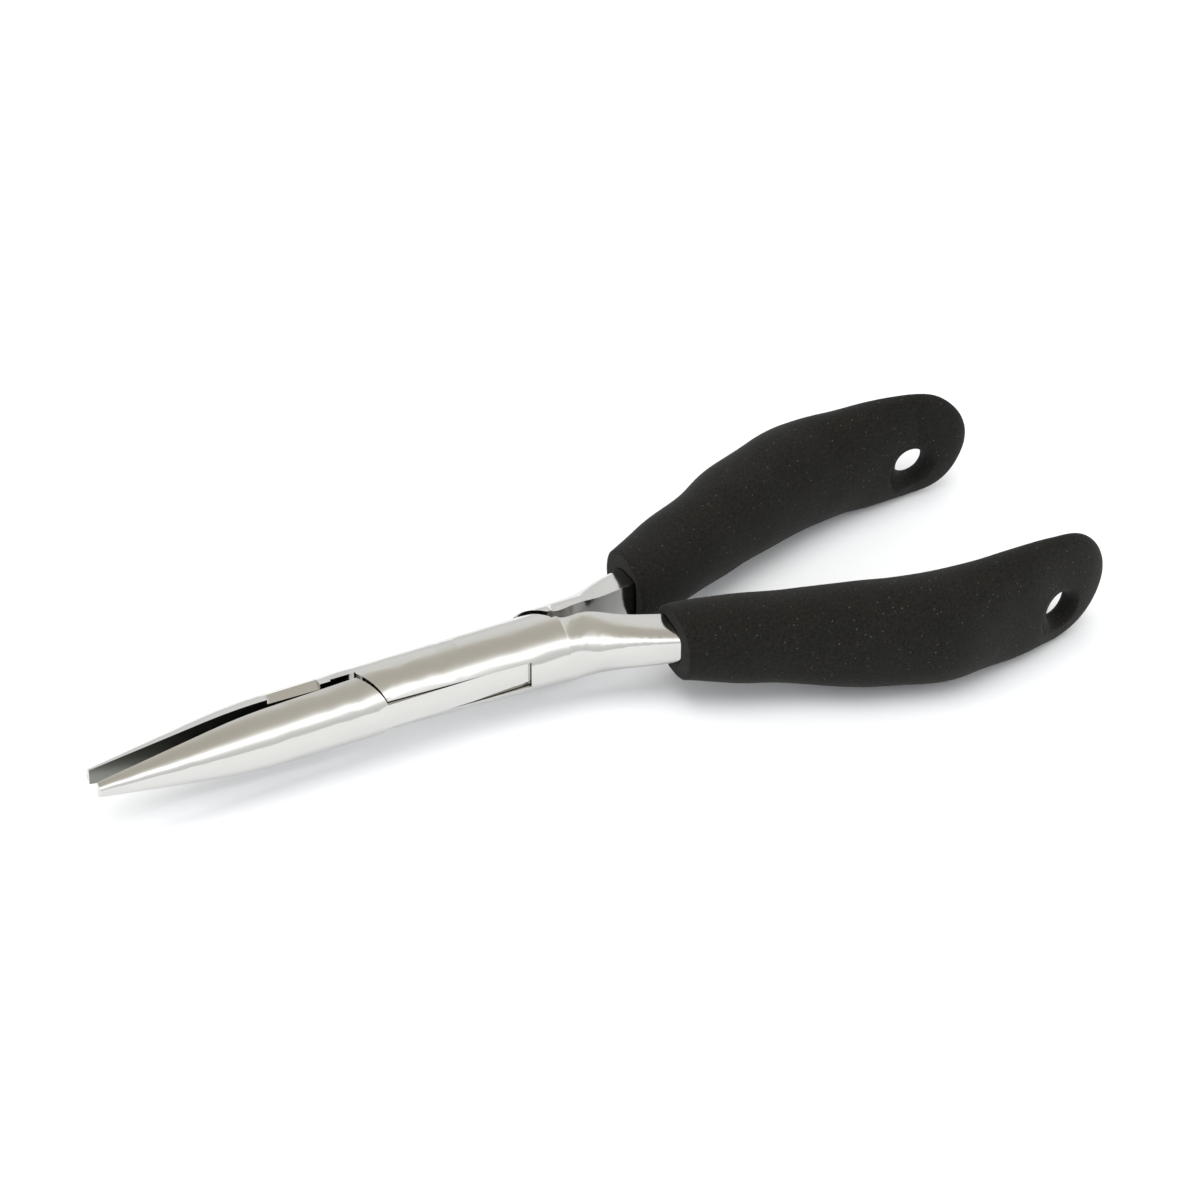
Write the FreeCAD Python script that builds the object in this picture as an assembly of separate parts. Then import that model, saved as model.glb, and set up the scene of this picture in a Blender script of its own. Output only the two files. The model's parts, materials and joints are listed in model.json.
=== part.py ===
"""Slim box-joint fishing pliers: two forged arms, a flush pin and two foam grips.

Both arms are drawn with the jaws shut, the pin on the origin, the jaws towards -X and the grips
towards +X. Each arm is then turned by half of the resting opening, and the whole tool is moved so
that the frame's origin is under its middle.
"""

import FreeCAD, Part
import math
import os
from FreeCAD import Vector

# Jaws and round body
jaw_length = 63.0             # pin to tip
tip_radius = 1.4
taper_angle = 8.8             # half-angle of the jaws' cone, degrees
taper_blend_radius = 80.0     # between the cone and the round body
body_radius = 5.45            # in front, where the jaws' cone ends
body_rear_radius = 6.35       # behind, where the shanks start
jaw_face_gap = 0.1            # left between the shut jaws
rest_opening = 3.1            # degrees between the arms as they lie

# Cutting land near the root of the box arm's jaw
land_start = 31.8             # distance from the pin
land_end = 20.9
land_drop = 0.9               # below the body's crown, at the jaw face
land_slope = 20.0             # degrees
land_runout_radius = 1.6

# Box joint
tongue_thickness = 4.6
tongue_side_clearance = 0.15  # above and below the tongue
tongue_reach = 13.9           # radius of the tongue's round ends
tongue_end_clearance = 0.2
wall_front_side = 12.7        # pin to the box wall's front edge, at the body's side
wall_front_centre = 16.1      # the same, on the centre line
wall_rear_side = 14.8         # pin to the box wall's rear edge, at the body's side
wall_rear_centre = 18.9
wall_edge_clearance = 0.45
jaw_relief_length = 4.5       # pocket in the box arm's jaw, in front of the joint
jaw_relief_depth = 0.5

# Pin
pin_radius = 1.9
pin_running_clearance = 0.05

# Shanks and tangs: distance from the pin, inner face, outer side, half height and squareness
rear_face = 0.4               # inner face behind the joint
shank_start = 20.0
shank_step = 0.15             # the shank leaves the round body this much slimmer
mouth = 38.0                  # where the foam starts
shank_stations = [
    (24.0, 0.6, 6.8, 5.85, 2.0),
    (27.5, 1.2, 7.6, 5.3, 2.1),
    (30.0, 1.9, 8.3, 4.6, 2.6),
    (33.5, 2.9, 9.4, 4.0, 3.2),
    (mouth, 4.1, 10.8, 3.5, 3.6),
]
tang_half_width = 2.9
tang_half_height = 3.3
tang_squareness = 3.0
tang_cover = 12.6             # foam between the tang's end and the lanyard hole

# Lanyard hole through the thin end of the foam
hole_place = 103.4            # distance from the pin
hole_drop = 3.2               # below the middle of the grip
hole_radius = 2.8
hole_neck = 0.8               # straight part of the hole

# Foam grip: distance from the pin, centre, half width and half height
grip_squareness = 2.2
grip_stations = [
    (mouth, 7.9, 6.7, 6.3),
    (47.0, 11.0, 7.5, 7.3),
    (58.5, 15.7, 7.9, 8.3),
    (70.0, 20.2, 8.5, 9.2),
    (81.0, 22.8, 7.9, 9.7),
    (92.0, 22.9, 5.8, 10.3),
    (hole_place, 21.9, 3.0, 10.5),
]
grip_end = 114.0
grip_end_centre = 20.0
grip_end_shares = (0.45, 0.8, 0.96, 1.0)   # where the rounded end is drawn, from hole to tip
grip_end_flat = 0.12          # share of the section left on the very end

round_squareness = 2.0        # a section with this squareness is an ellipse
outline_points = 9            # per side of a rounded section


def wire_through(points, closed):
    curve = Part.BSplineCurve()
    curve.interpolate(Points=points, PeriodicFlag=closed)
    return curve.toShape()


def power(value, exponent):
    return math.copysign(abs(value) ** exponent, value)


def d_section(x, inner, outer, half_height, squareness):
    """A flat inner side with a rounded outer side, in a plane across the tool."""
    rounding = 2.0 / squareness
    points = []
    for step in range(outline_points):
        angle = math.pi * (step / (outline_points - 1) - 0.5)
        y = inner + (outer - inner) * power(math.cos(angle), rounding)
        z = half_height * power(math.sin(angle), rounding)
        points.append(Vector(x, y, z))
    flat = Part.makeLine(points[-1], points[0])
    return Part.Wire([wire_through(points, False), flat])


def oval_section(x, centre, half_width, half_height, squareness):
    rounding = 2.0 / squareness
    points = []
    for step in range(2 * outline_points):
        angle = math.pi * step / outline_points
        y = centre + half_width * power(math.cos(angle), rounding)
        points.append(Vector(x, y, half_height * power(math.sin(angle), rounding)))
    return Part.Wire([wire_through(points, True)])


def slab(x_low, x_high, y_low, y_high, z_half):
    corner = Vector(x_low, y_low, -z_half)
    return Part.makeBox(x_high - x_low, y_high - y_low, 2 * z_half, corner)


def prism(points, z_low, z_high):
    corners = [Vector(x, y, z_low) for x, y in points]
    outline = Part.makePolygon(corners + corners[:1])
    return Part.Face(outline).extrude(Vector(0, 0, z_high - z_low))


def disc(radius, z_half):
    return Part.makeCylinder(radius, 2 * z_half, Vector(0, 0, -z_half))


def barrel():
    """The shut jaws and the round body as one turned bar, up to the shanks."""
    slope = math.radians(taper_angle)
    blend = taper_blend_radius * math.tan(slope / 2)
    knee = -jaw_length + (body_radius - tip_radius) / math.tan(slope)
    cone_end = Vector(knee - blend * math.cos(slope), body_radius - blend * math.sin(slope), 0)
    body_start = Vector(knee + blend, body_radius, 0)
    middle_angle = slope / 2
    centre = Vector(knee + blend, body_radius - taper_blend_radius, 0)
    reach = Vector(-math.sin(middle_angle), math.cos(middle_angle), 0) * taper_blend_radius
    tip = Vector(-jaw_length, tip_radius, 0)
    rear = Vector(shank_start, body_rear_radius, 0)
    edges = [
        Part.makeLine(Vector(-jaw_length, 0, 0), tip),
        Part.makeLine(tip, cone_end),
        Part.Arc(cone_end, centre + reach, body_start).toShape(),
        Part.makeLine(body_start, rear),
        Part.makeLine(rear, Vector(shank_start, 0, 0)),
        Part.makeLine(Vector(shank_start, 0, 0), Vector(-jaw_length, 0, 0)),
    ]
    face = Part.Face(Part.Wire(edges))
    return face.revolve(Vector(0, 0, 0), Vector(1, 0, 0), 360)


def centre_of_grip(x):
    """The grip's centre line, between its stations."""
    for low, high in zip(grip_stations, grip_stations[1:]):
        if x <= high[0]:
            share = (x - low[0]) / (high[0] - low[0])
            return low[1] + share * (high[1] - low[1])
    share = (x - hole_place) / (grip_end - hole_place)
    return grip_stations[-1][1] + share * (grip_end_centre - grip_stations[-1][1])


def shank_and_tang():
    """One far-side handle: the shank behind the joint, then the bar inside the foam."""
    radius = body_rear_radius - shank_step
    chord = math.sqrt(radius ** 2 - rear_face ** 2)
    sections = [d_section(shank_start, rear_face, radius, chord, round_squareness)]
    sections += [d_section(*station) for station in shank_stations]
    tang_end = hole_place - hole_radius - tang_cover
    places = [station[0] for station in grip_stations[1:] if station[0] < tang_end]
    for x in places + [tang_end]:
        inner = centre_of_grip(x) - tang_half_width
        outer = centre_of_grip(x) + tang_half_width
        sections.append(d_section(x, inner, outer, tang_half_height, tang_squareness))
    return Part.makeLoft(sections, True, False)


def grip_body():
    """One far-side foam grip, still solid: the long body and its rounded end."""
    body = []
    for x, centre, half_width, half_height in grip_stations:
        body.append(oval_section(x, centre, half_width, half_height, grip_squareness))
    end = body[-1:]
    _, _, end_width, end_height = grip_stations[-1]
    for share in grip_end_shares:
        x = hole_place + share * (grip_end - hole_place)
        size = max(math.sqrt(1 - share ** 2), grip_end_flat)
        width = end_width * size
        height = end_height * size
        end.append(oval_section(x, centre_of_grip(x), width, height, grip_squareness))
    return Part.makeLoft(body, True, False).fuse(Part.makeLoft(end, True, False))


def lean_at_hole():
    """The angle of the grip's centre line where the lanyard hole crosses it, in degrees."""
    before = grip_stations[-2]
    rise = grip_end_centre - before[1]
    return math.degrees(math.atan2(rise, grip_end - before[0]))


def lanyard_hole():
    """What the foam leaves open: a short neck that widens in a full rounding on both sides."""
    _, centre, half_width, _ = grip_stations[-1]
    neck = hole_neck / 2
    lip = half_width - neck
    wide = hole_radius + lip
    far = neck + lip
    outer = far + lip
    diagonal = lip * math.sqrt(0.5)
    near_arc = Part.Arc(
        Vector(hole_radius, neck, 0),
        Vector(wide - diagonal, neck + diagonal, 0),
        Vector(wide, far, 0),
    ).toShape()
    far_arc = Part.Arc(
        Vector(wide, -far, 0),
        Vector(wide - diagonal, -neck - diagonal, 0),
        Vector(hole_radius, -neck, 0),
    ).toShape()
    corners = [Vector(wide, far, 0), Vector(wide, outer, 0), Vector(0, outer, 0)]
    corners += [Vector(0, -outer, 0), Vector(wide, -outer, 0), Vector(wide, -far, 0)]
    edges = [Part.makeLine(a, b) for a, b in zip(corners, corners[1:])]
    edges += [far_arc, Part.makeLine(Vector(hole_radius, -neck, 0), Vector(hole_radius, neck, 0))]
    edges.append(near_arc)
    face = Part.Face(Part.Wire(Part.__sortEdges__(edges)))
    solid = face.revolve(Vector(0, 0, 0), Vector(0, 1, 0), 360)
    solid.rotate(Vector(0, 0, 0), Vector(0, 0, 1), lean_at_hole())
    solid.translate(Vector(hole_place, centre, -hole_drop))
    return solid


def mirrored(shape):
    return shape.mirror(Vector(0, 0, 0), Vector(0, 1, 0))


def wall_edge(side, centre, margin):
    """A slanted wall edge: how far from the pin it is on the centre line and well past the side."""
    slant = math.atan2(centre - side, body_radius)
    middle = centre + margin / math.cos(slant)
    return middle, middle - 2 * body_radius * math.tan(slant)


def wall_zone(margin, z_low, z_high):
    """Where the box walls lie: the whole width, between slanted edges in front and behind."""
    front, front_side = wall_edge(wall_front_side, wall_front_centre, margin)
    rear, rear_side = wall_edge(wall_rear_side, wall_rear_centre, margin)
    reach = 2 * body_radius
    corners = [(-front, reach), (-front, 0), (-front_side, -reach)]
    corners += [(rear, -reach), (rear, 0), (rear_side, reach)]
    return prism(corners, z_low, z_high)


def wall_zones(margin, z_from):
    """The box walls' zone above and below the tongue."""
    top = 2 * body_radius
    return [wall_zone(margin, z_from, top), wall_zone(margin, -top, -z_from)]


def half_bars():
    """The turned bar split into its four quarters: jaws in front of the pin, shanks behind it."""
    bar = barrel()
    wide = 2 * body_radius
    half_gap = jaw_face_gap / 2
    near_jaw = bar.common(slab(-2 * jaw_length, 0, -wide, -half_gap, wide))
    far_jaw = bar.common(slab(-2 * jaw_length, 0, half_gap, wide, wide))
    near_rear = bar.common(slab(0, shank_start, -wide, -rear_face, wide))
    far_rear = bar.common(slab(0, shank_start, rear_face, wide, wide))
    return bar, near_jaw, far_jaw, near_rear, far_rear


def cutting_land():
    """Material taken off both crowns of the box arm's jaw, along the inner edge."""
    level = body_radius - land_drop
    width = 2 * body_radius
    rise = width * math.tan(math.radians(land_slope))
    flat_end = land_end + land_runout_radius
    cuts = []
    for up in (1, -1):
        corners = [
            Vector(-land_start, 0, up * level),
            Vector(-land_start, width, up * (level + rise)),
            Vector(-land_start, width, up * 2 * width),
            Vector(-land_start, 0, up * 2 * width),
        ]
        face = Part.Face(Part.makePolygon(corners + corners[:1]))
        cuts.append(face.extrude(Vector(land_start - flat_end, 0, 0)))
    return cuts


def tongue_arm(bar, near_jaw, far_rear, handle):
    half = tongue_thickness / 2
    tongue = bar.common(disc(tongue_reach, half))
    handle_side = far_rear.fuse(handle)
    arm = near_jaw.fuse([handle_side]).cut(wall_zones(wall_edge_clearance, half))
    arm = arm.fuse([tongue]).removeSplitter()
    return arm.cut(disc(pin_radius + pin_running_clearance, tongue_thickness))


def box_arm(bar, far_jaw, near_rear, handle):
    half = tongue_thickness / 2 + tongue_side_clearance
    walls = [bar.common(zone) for zone in wall_zones(0, half)]
    arm = far_jaw.fuse([near_rear.fuse(handle)] + walls)
    slot = disc(tongue_reach + tongue_end_clearance, half)
    wide = 2 * body_radius
    front = slab(-wall_front_centre - wide, 0, -wide, jaw_face_gap / 2, half)
    rear = slab(0, wall_rear_centre + wide, -rear_face, wide, half)
    arm = arm.cut([slot, front, rear])
    relief_start = -wall_front_centre - jaw_relief_length
    relief = slab(relief_start, -wall_front_centre, -wide, jaw_relief_depth, wide)
    arm = arm.cut([relief] + cutting_land()).removeSplitter()
    return arm.cut(disc(pin_radius, wide))


def pivot_pin(bar):
    return bar.common(disc(pin_radius, 2 * body_radius))


def main():
    bar, near_jaw, far_jaw, near_rear, far_rear = half_bars()
    far_handle = shank_and_tang()
    near_handle = mirrored(far_handle)
    far_grip = grip_body().cut([far_handle, lanyard_hole()])
    near_grip = mirrored(far_grip)
    tongue_side = [
        ("tongue_arm", tongue_arm(bar, near_jaw, far_rear, far_handle)),
        ("tongue_grip", far_grip),
    ]
    box_side = [
        ("box_arm", box_arm(bar, far_jaw, near_rear, near_handle)),
        ("box_grip", near_grip),
        ("pivot_pin", pivot_pin(bar)),
    ]
    nodes = {}
    for name, shape in tongue_side:
        nodes[name] = shape.rotated(Vector(0, 0, 0), Vector(0, 0, 1), rest_opening / 2)
    for name, shape in box_side:
        nodes[name] = shape.rotated(Vector(0, 0, 0), Vector(0, 0, 1), -rest_opening / 2)
    whole = Part.makeCompound(list(nodes.values())).optimalBoundingBox(False)
    middle = Vector((whole.XMin + whole.XMax) / 2, (whole.YMin + whole.YMax) / 2, whole.ZMin)
    os.makedirs("parts", exist_ok=True)
    for name, shape in nodes.items():
        shape.translate(middle * -1)
        solid = shape.Solids[0] if len(shape.Solids) == 1 else shape
        print(name, len(shape.Solids), "solids", round(shape.Volume, 1), "mm3", shape.isValid())
        solid.exportStep(f"parts/{name}.step")
    print("pin at", [round(-value, 4) for value in middle])


main()
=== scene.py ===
"""Fishing pliers: polished steel arms and foam grips, on a pale floor in soft light."""

import json
import math

import bmesh
import bpy
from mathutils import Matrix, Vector, noise as space_noise


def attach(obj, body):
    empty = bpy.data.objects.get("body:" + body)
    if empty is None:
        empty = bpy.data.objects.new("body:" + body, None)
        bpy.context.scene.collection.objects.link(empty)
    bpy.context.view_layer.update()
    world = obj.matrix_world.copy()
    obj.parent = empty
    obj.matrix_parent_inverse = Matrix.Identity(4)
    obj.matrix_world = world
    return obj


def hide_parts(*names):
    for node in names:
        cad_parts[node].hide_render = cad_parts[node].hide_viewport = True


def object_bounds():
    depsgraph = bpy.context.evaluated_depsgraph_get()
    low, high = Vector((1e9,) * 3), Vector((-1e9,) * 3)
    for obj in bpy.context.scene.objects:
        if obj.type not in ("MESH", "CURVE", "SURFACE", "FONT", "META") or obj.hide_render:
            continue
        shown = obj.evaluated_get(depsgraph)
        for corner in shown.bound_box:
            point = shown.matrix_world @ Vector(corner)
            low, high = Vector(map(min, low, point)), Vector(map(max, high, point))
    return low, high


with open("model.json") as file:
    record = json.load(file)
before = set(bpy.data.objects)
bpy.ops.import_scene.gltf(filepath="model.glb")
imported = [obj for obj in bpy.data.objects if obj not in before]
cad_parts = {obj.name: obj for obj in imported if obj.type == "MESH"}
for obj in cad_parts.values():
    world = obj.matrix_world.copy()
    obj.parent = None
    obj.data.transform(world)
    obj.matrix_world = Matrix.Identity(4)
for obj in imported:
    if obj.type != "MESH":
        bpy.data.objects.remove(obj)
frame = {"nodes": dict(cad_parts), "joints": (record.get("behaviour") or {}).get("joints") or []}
cad_low, cad_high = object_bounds()

MM = 0.001
FLOOR = cad_low.z
PIN = Vector(frame["joints"][0]["pos_m"])

# Camera
LENS = 139.4                       # on the usual 36 mm sensor
AIM = PIN + Vector((27.1, -2.9, 8.5)) * MM
DISTANCE = 773 * MM
AZIMUTH = math.radians(-27.2)
ELEVATION = math.radians(35.8)

# Steel shapes
MERGE = 0.001 * MM                 # CAD triangles are joined at this distance
CREASE = math.radians(28)          # a sharper edge than this is broken
EDGE_BREAK = 0.12 * MM
EDGE_STEPS = 2
JAW_LENGTH = 63 * MM               # from the pin to the tips
JOINT_LENGTH = 20.6 * MM           # the jaws' inner faces start this far in front of the pin
JAW_GAP = 2.4 * MM                 # those faces are nearer than this to the middle
FACING = 0.99                      # and face across the tool

# Foam shapes
FOAM_VOXEL = 0.3 * MM
SOFTENING = 3                      # passes that round the foam's edges
LUMP_HEIGHT = 0.2 * MM
LUMP_SIZE = 7.0 * MM
SWELL_HEIGHT = 0.55 * MM
SWELL_LENGTH = 5.0 * MM
SWELL_LEVEL = 0.5                  # share of a swell at which the surface stays where it was
SWELLS = (47 * MM, 62 * MM, 79 * MM, 97 * MM)   # distances from the pin

# Polished steel. Frequencies are per metre.
ARM_TINT = (0.66, 0.655, 0.635, 1.0)
PIN_TINT = (0.63, 0.625, 0.60, 1.0)
SMEAR_SHADE = 0.93                 # a smear darkens the steel to this share
SMEAR_FREQUENCY = 160.0
POLISH_LINES = (60, 2500, 2500)    # long along the tool, fine across it
POLISH_ROUGHNESS = 0.07
SMEAR_ROUGHNESS = 0.05
LINE_ROUGHNESS = 0.05
POLISH_RELIEF = 0.02
LINE_DEPTH = 0.02 * MM             # of polishing and of grinding lines

# Ground steel, with painted shade of the gap between the jaws
GRIND_LINES = (900, 300, 4200)
STAIN_FREQUENCY = 180.0
STAIN_WEIGHT = 0.5
STAIN_LEVEL = 0.5                  # a stain this strong leaves the shade as it was
# painted shade: the jaws' inner faces are painted dark, lighter at the open tips and darkest at
# the root, where the gap between the jaws is narrowest
PAINTED_SHADE_AT_TIP = (0.24, 0.24, 0.22, 1.0)
PAINTED_SHADE_AT_ROOT = (0.035, 0.034, 0.03, 1.0)
GRIND_ROUGHNESS = 0.28
GRAIN_ROUGHNESS = 0.15
GRIND_RELIEF = 0.1

# Foam
PORE_FREQUENCY = 2300.0
PORE_HARSHNESS = 0.65
PORE_LEVEL = 0.3                   # below this a pore is at its darkest
PORE_CONTRAST = 1.7
PORE_RELIEF = 0.6
PORE_DEPTH = 0.12 * MM
PORE_SHADE = (0.004, 0.004, 0.0035, 1)
SKIN_SHADE = (0.019, 0.018, 0.015, 1)
PATCH_FREQUENCY = 260.0
PATCH_BASE = 0.6
PATCH_WEIGHT = 0.8
SPECK_FREQUENCY = 1000.0           # cells that may each hold one speck
SPECK_RADIUS = 0.12                # share of a cell
SPECK_EMPTY = 0.45                 # share of the cells that hold none
SPECK_STRENGTH = 0.5
RED_ABOVE = 0.86                   # the share of specks that stay pale
PALE_SPECK = (0.11, 0.11, 0.10, 1)
RED_SPECK = (0.10, 0.03, 0.02, 1)
FOAM_ROUGHNESS = 0.8
PATCH_ROUGHNESS = 0.1
FOAM_GLOSS = 0.14
FOAM_SHEEN = 0.05
SHEEN_ROUGHNESS = 0.5

# Floor and light
FLOOR_REACH = 3.0
CARD = (0.86, 0.875, 0.9, 1.0)
CARD_ROUGHNESS = 0.9
PANEL_HEIGHT = 0.57                # the bright panel's place, as parts of a unit direction
PANEL_TALL = 0.17
PANEL_FRONT = 0.75
PANEL_WIDE = 0.3
PANEL_STRENGTH = 1.35
TENT_TONES = [
    (0.0, (0.8, 0.8, 0.8, 1)),
    (0.45, (0.96, 0.96, 0.96, 1)),
    (0.72, (0.92, 0.91, 0.88, 1)),
    (0.9, (0.66, 0.63, 0.56, 1)),
    (1.0, (0.6, 0.57, 0.5, 1)),
]
LAMP_SIZE = 1.2
LAMP_POWER = 11.0
LAMP_PLACE = Vector((-0.15, -0.25, 1.3))


class Signal:
    """A shader socket that Python's operators work on."""

    def __init__(self, tree, socket):
        self.tree = tree
        self.socket = socket

    def maths(self, operation, first, second=0.0):
        values = {0: first, 1: second}
        return self.tree.node("ShaderNodeMath", {"operation": operation}, values)

    def beside(self, name):
        """Another output of the node that this one comes from."""
        return Signal(self.tree, self.socket.node.outputs[name])

    def __add__(self, other):
        return self.maths("ADD", self, other)

    def __radd__(self, other):
        return self.maths("ADD", other, self)

    def __sub__(self, other):
        return self.maths("SUBTRACT", self, other)

    def __rsub__(self, other):
        return self.maths("SUBTRACT", other, self)

    def __mul__(self, other):
        return self.maths("MULTIPLY", self, other)

    def __rmul__(self, other):
        return self.maths("MULTIPLY", other, self)

    def __truediv__(self, other):
        return self.maths("DIVIDE", self, other)

    def __rtruediv__(self, other):
        return self.maths("DIVIDE", other, self)

    def above(self, level):
        return self.maths("GREATER_THAN", self, level)

    def exponential(self):
        return self.maths("EXPONENT", self)


class Shading:
    """A node tree, and the one method that adds nodes to it."""

    def __init__(self, tree):
        self.tree = tree
        tree.nodes.clear()

    def node(self, kind, settings=None, inputs=None, output=0):
        """Adds a node: its settings first, then the values and links of its sockets."""
        made = self.tree.nodes.new(kind)
        for name, value in (settings or {}).items():
            if name == "stops":
                set_stops(made.color_ramp.elements, value)
            else:
                setattr(made, name, value)
        for key, value in (inputs or {}).items():
            wanted = made.inputs[key] if isinstance(key, int) else in_use(made.inputs, key)
            if isinstance(value, Signal):
                self.tree.links.new(value.socket, wanted)
            else:
                wanted.default_value = value
        results = [socket for socket in made.outputs if socket.enabled]
        if not results:
            return None
        wanted = results[output] if isinstance(output, int) else in_use(made.outputs, output)
        return Signal(self, wanted)


def in_use(sockets, name):
    """The socket of this name that the node's settings have switched on."""
    return next(socket for socket in sockets if socket.enabled and socket.name == name)


def set_stops(ramp, stops):
    while len(ramp) < len(stops):
        ramp.new(0.5)
    for stop, (place, colour) in zip(ramp, stops):
        stop.position = place
        stop.color = colour


def grey(value):
    return (value, value, value, 1.0)


def darkened(colour, share):
    return tuple(share * part for part in colour[:3]) + (1.0,)


def new_material(name):
    material = bpy.data.materials.new(name)
    material.use_nodes = True
    return material, Shading(material.node_tree)


def finish_material(tree, values):
    shader = tree.node("ShaderNodeBsdfPrincipled", {}, values)
    tree.node("ShaderNodeOutputMaterial", {}, {"Surface": shader})


def object_place(tree):
    return tree.node("ShaderNodeTexCoord", {}, {}, "Object")


def stretched(tree, place, scale):
    return tree.node("ShaderNodeMapping", {}, {"Vector": place, "Scale": scale})


def noise(tree, place, scale, detail=3.0, roughness=0.5):
    inputs = {"Vector": place, "Scale": scale, "Detail": detail, "Roughness": roughness}
    return tree.node("ShaderNodeTexNoise", {}, inputs, "Fac")


def mixed(tree, share, first, second):
    values = {"Factor": share, "A": first, "B": second}
    return tree.node("ShaderNodeMix", {"data_type": "RGBA"}, values, "Result")


def bumped(tree, height, strength, depth):
    values = {"Strength": strength, "Distance": depth, "Height": height}
    return tree.node("ShaderNodeBump", {}, values)


def polished_steel(name, tint):
    """Stainless steel polished along the tool, with fine lines and faint smears."""
    material, tree = new_material(name)
    place = object_place(tree)
    lines = noise(tree, stretched(tree, place, POLISH_LINES), 1.0)
    smears = noise(tree, place, SMEAR_FREQUENCY)
    finish_material(tree, {
        "Base Color": mixed(tree, smears, tint, darkened(tint, SMEAR_SHADE)),
        "Metallic": 1.0,
        "Roughness": POLISH_ROUGHNESS + SMEAR_ROUGHNESS * smears + LINE_ROUGHNESS * lines,
        "Normal": bumped(tree, lines, POLISH_RELIEF, LINE_DEPTH),
    })
    return material


def ground_steel_painted_shade():
    """The flat inner faces of the jaws: ground, not polished, and painted dark as shade of the
    narrow gap between them, darkest towards the root.
    """
    material, tree = new_material("ground_steel_painted_shade")
    place = object_place(tree)
    grain = noise(tree, stretched(tree, place, GRIND_LINES), 1.0)
    stain = noise(tree, place, STAIN_FREQUENCY)
    along = tree.node("ShaderNodeSeparateXYZ", {}, {"Vector": place}, "X")
    # painted shade: the faces darken from the tips towards the root as the gap narrows; the
    # stains add the steel's own uneven tone
    painted_shade_depth = (along - (PIN.x - JAW_LENGTH)) / (JAW_LENGTH - JOINT_LENGTH)
    share = painted_shade_depth + STAIN_WEIGHT * (stain - STAIN_LEVEL)
    finish_material(tree, {
        "Base Color": mixed(tree, share, PAINTED_SHADE_AT_TIP, PAINTED_SHADE_AT_ROOT),
        "Metallic": 1.0,
        "Roughness": GRIND_ROUGHNESS + GRAIN_ROUGHNESS * grain,
        "Normal": bumped(tree, grain, GRIND_RELIEF, LINE_DEPTH),
    })
    return material


def specks(tree, place):
    """Where a speck is, and its colour: most are pale and a few reddish."""
    spots = tree.node("ShaderNodeTexVoronoi", {}, {"Vector": place, "Scale": SPECK_FREQUENCY})
    chance = spots.beside("Color")
    pick = tree.node("ShaderNodeSeparateColor", {}, {"Color": chance}, "Red")
    tint = tree.node("ShaderNodeSeparateColor", {}, {"Color": chance}, "Green")
    here = (SPECK_RADIUS - spots).above(0.0) * pick.above(SPECK_EMPTY)
    return here, mixed(tree, tint.above(RED_ABOVE), PALE_SPECK, RED_SPECK)


def foam():
    """Charcoal closed-cell foam: fine pores, pale specks and a few reddish ones."""
    material, tree = new_material("charcoal_foam")
    place = object_place(tree)
    grain = noise(tree, place, PORE_FREQUENCY, roughness=PORE_HARSHNESS)
    patches = noise(tree, place, PATCH_FREQUENCY)
    shade = (grain - PORE_LEVEL) * PORE_CONTRAST * (PATCH_BASE + PATCH_WEIGHT * patches)
    plain = mixed(tree, shade, PORE_SHADE, SKIN_SHADE)
    speck, speck_colour = specks(tree, place)
    finish_material(tree, {
        "Base Color": mixed(tree, speck * SPECK_STRENGTH, plain, speck_colour),
        "Roughness": FOAM_ROUGHNESS + patches * PATCH_ROUGHNESS,
        "Specular IOR Level": FOAM_GLOSS,
        "Sheen Weight": FOAM_SHEEN,
        "Sheen Roughness": SHEEN_ROUGHNESS,
        "Normal": bumped(tree, grain, PORE_RELIEF, PORE_DEPTH),
    })
    return material


def merged_copy(cad_node, name):
    """A copy of a CAD node's mesh with its loose triangles joined up."""
    mesh = frame["nodes"][cad_node].data.copy()
    mesh.name = name
    mesh.materials.clear()
    work = bmesh.new()
    work.from_mesh(mesh)
    bmesh.ops.remove_doubles(work, verts=work.verts, dist=MERGE)
    work.to_mesh(mesh)
    work.free()
    piece = bpy.data.objects.new(name, mesh)
    bpy.context.scene.collection.objects.link(piece)
    return piece


def apply_modifiers(piece):
    """Works the piece's modifiers into a plain mesh."""
    graph = bpy.context.evaluated_depsgraph_get()
    mesh = bpy.data.meshes.new_from_object(piece.evaluated_get(graph))
    piece.modifiers.clear()
    piece.data = mesh


def grind_jaw_faces(piece):
    """Gives the jaw's flat inner face the second of the piece's finishes: ground steel with
    painted shade.
    """
    for face in piece.data.polygons:
        in_front = face.center.x < PIN.x - JOINT_LENGTH
        if in_front and abs(face.normal.y) > FACING and abs(face.center.y) < JAW_GAP:
            face.material_index = 1


def steel_piece(cad_node, name, polished, ground):
    """A steel arm with its sharp edges broken, as polishing leaves them."""
    piece = merged_copy(cad_node, name)
    piece.data.materials.append(polished)
    piece.data.materials.append(ground)
    grind_jaw_faces(piece)
    piece.data.shade_smooth()
    piece.data.set_sharp_from_angle(angle=CREASE)
    broken = piece.modifiers.new("broken_edges", "BEVEL")
    broken.width = EDGE_BREAK
    broken.segments = EDGE_STEPS
    broken.limit_method = "ANGLE"
    broken.angle_limit = CREASE
    broken.use_clamp_overlap = True
    even = piece.modifiers.new("even_shading", "WEIGHTED_NORMAL")
    even.keep_sharp = True
    apply_modifiers(piece)
    return piece


def press_swells(piece):
    """Gentle swells along the outside of the grip, and slight lumps all over."""
    normals = [vertex.normal.copy() for vertex in piece.data.vertices]
    for vertex, normal in zip(piece.data.vertices, normals):
        away = math.copysign(1.0, vertex.co.y)
        outside = max(0.0, normal.y * away)
        reach = vertex.co.x - PIN.x
        swell = sum(math.exp(-(((reach - place) / SWELL_LENGTH) ** 2)) for place in SWELLS)
        lump = space_noise.noise(vertex.co / LUMP_SIZE)
        height = SWELL_HEIGHT * (swell - SWELL_LEVEL) * outside + LUMP_HEIGHT * lump
        vertex.co += normal * height


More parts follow.
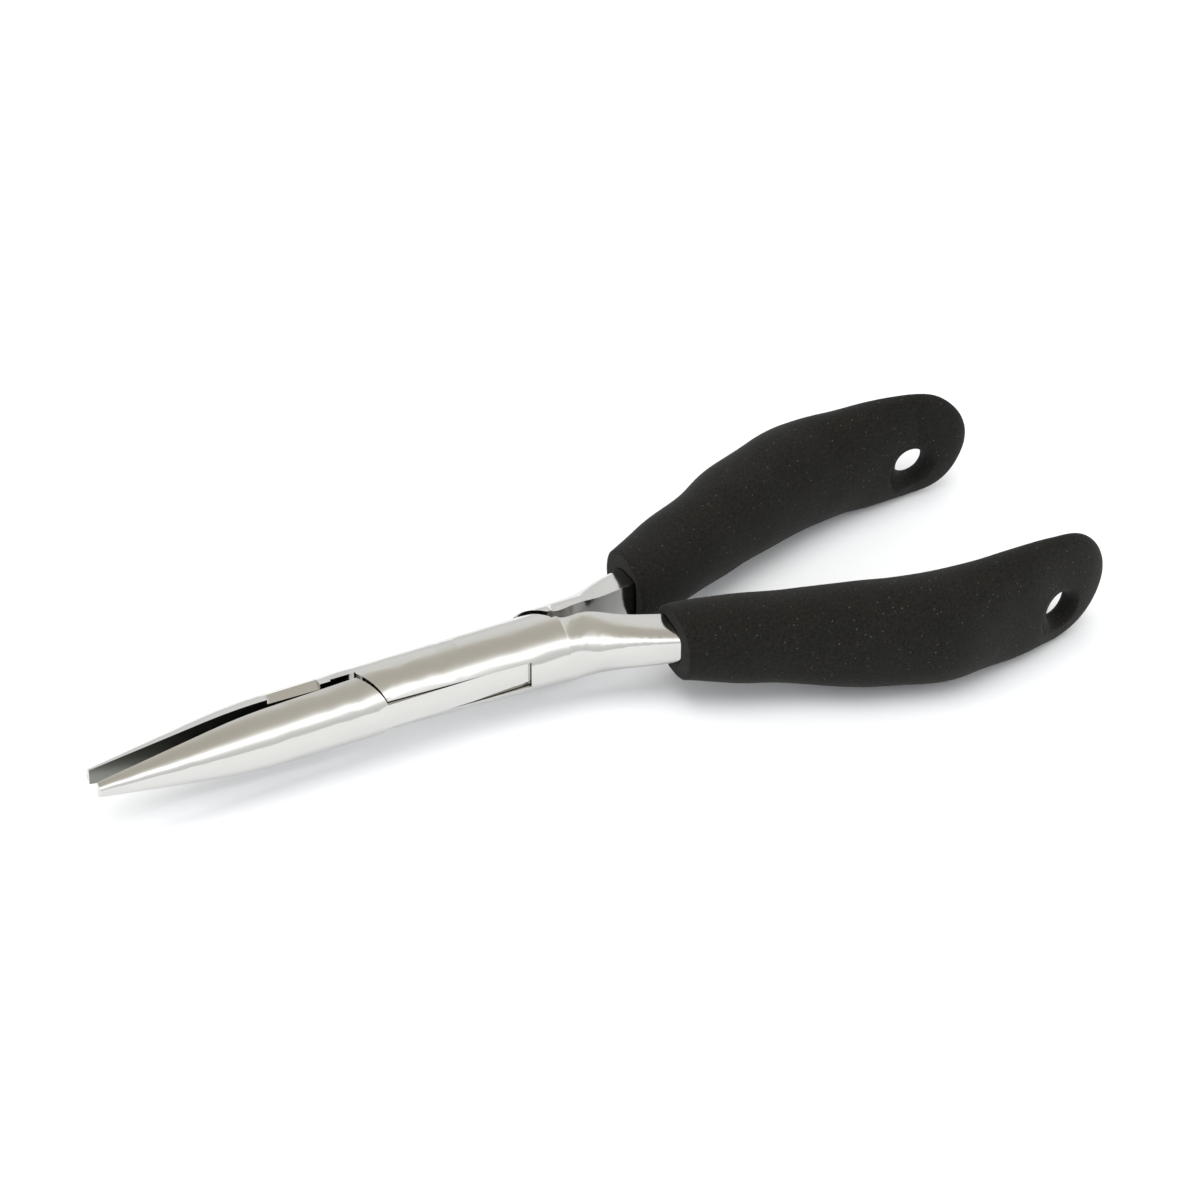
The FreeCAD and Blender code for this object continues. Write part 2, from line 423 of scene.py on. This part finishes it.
def foam_piece(cad_node, name, material):
    """A grip remeshed into one even skin, so that its edges can soften."""
    piece = merged_copy(cad_node, name)
    skin = piece.modifiers.new("skin", "REMESH")
    skin.mode = "VOXEL"
    skin.voxel_size = FOAM_VOXEL
    skin.use_smooth_shade = True
    soften = piece.modifiers.new("soften", "SMOOTH")
    soften.iterations = SOFTENING
    apply_modifiers(piece)
    press_swells(piece)
    piece.data.materials.clear()
    piece.data.materials.append(material)
    return piece


def place_camera():
    data = bpy.data.cameras.new("camera")
    data.lens = LENS
    camera = bpy.data.objects.new("camera", data)
    bpy.context.scene.collection.objects.link(camera)
    bpy.context.scene.camera = camera
    across = math.cos(ELEVATION)
    towards = (across * math.sin(AZIMUTH), -across * math.cos(AZIMUTH), math.sin(ELEVATION))
    camera.location = AIM + DISTANCE * Vector(towards)
    camera.rotation_euler = (math.pi / 2 - ELEVATION, 0, AZIMUTH)


def lay_floor():
    mesh = bpy.data.meshes.new("floor")
    signs = ((-1, -1), (1, -1), (1, 1), (-1, 1))
    corners = [(FLOOR_REACH * x, FLOOR_REACH * y, FLOOR) for x, y in signs]
    mesh.from_pydata(corners, [], [(0, 1, 2, 3)])
    floor = bpy.data.objects.new("floor", mesh)
    bpy.context.scene.collection.objects.link(floor)
    material, tree = new_material("white_card")
    finish_material(tree, {"Base Color": CARD, "Roughness": CARD_ROUGHNESS})
    mesh.materials.append(material)


def light_tent():
    """A white tent with a bright soft panel in front, warmer and darker overhead."""
    world = bpy.data.worlds.new("tent")
    bpy.context.scene.world = world
    world.use_nodes = True
    tree = Shading(world.node_tree)
    way = tree.node("ShaderNodeTexCoord", {}, {}, "Generated")
    height = tree.node("ShaderNodeSeparateXYZ", {}, {"Vector": way}, "Z")
    front = -1.0 * height.beside("Y")
    rise = (height - PANEL_HEIGHT) / PANEL_TALL
    turn = (front - PANEL_FRONT) / PANEL_WIDE
    panel = (-1.0 * (rise * rise + turn * turn)).exponential()
    tones = tree.node("ShaderNodeValToRGB", {"stops": TENT_TONES}, {"Fac": height})
    cloth = tree.node("ShaderNodeBackground", {}, {"Color": tones, "Strength": 1.0})
    glow = {"Color": grey(1.0), "Strength": panel * PANEL_STRENGTH}
    box = tree.node("ShaderNodeBackground", {}, glow)
    both = tree.node("ShaderNodeAddShader", {}, {0: cloth, 1: box})
    tree.node("ShaderNodeOutputWorld", {}, {"Surface": both})


def overhead_light():
    """A wide disc that lights the foam and the floor, and isn't mirrored in the steel."""
    data = bpy.data.lights.new("overhead", "AREA")
    data.shape = "DISK"
    data.size = LAMP_SIZE
    data.energy = LAMP_POWER
    lamp = bpy.data.objects.new("overhead", data)
    bpy.context.scene.collection.objects.link(lamp)
    lamp.location = LAMP_PLACE
    lamp.rotation_euler = LAMP_PLACE.to_track_quat("Z", "Y").to_euler()
    lamp.visible_glossy = False


bpy.context.scene.view_settings.view_transform = "Standard"
place_camera()
lay_floor()
light_tent()
overhead_light()

steel = polished_steel("polished_steel", ARM_TINT)
pin_steel = polished_steel("pin_steel", PIN_TINT)
jaw_steel_painted_shade = ground_steel_painted_shade()
charcoal = foam()

for side, body in (("box", "box_side"), ("tongue", "tongue_side")):
    arm = steel_piece(f"{side}_arm", f"{side}_arm_polished", steel, jaw_steel_painted_shade)
    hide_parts(f"{side}_arm")
    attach(arm, body)
    grip = foam_piece(f"{side}_grip", f"{side}_grip_foam", charcoal)
    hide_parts(f"{side}_grip")
    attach(grip, body)

for slot in frame["nodes"]["pivot_pin"].material_slots:
    slot.material = pin_steel
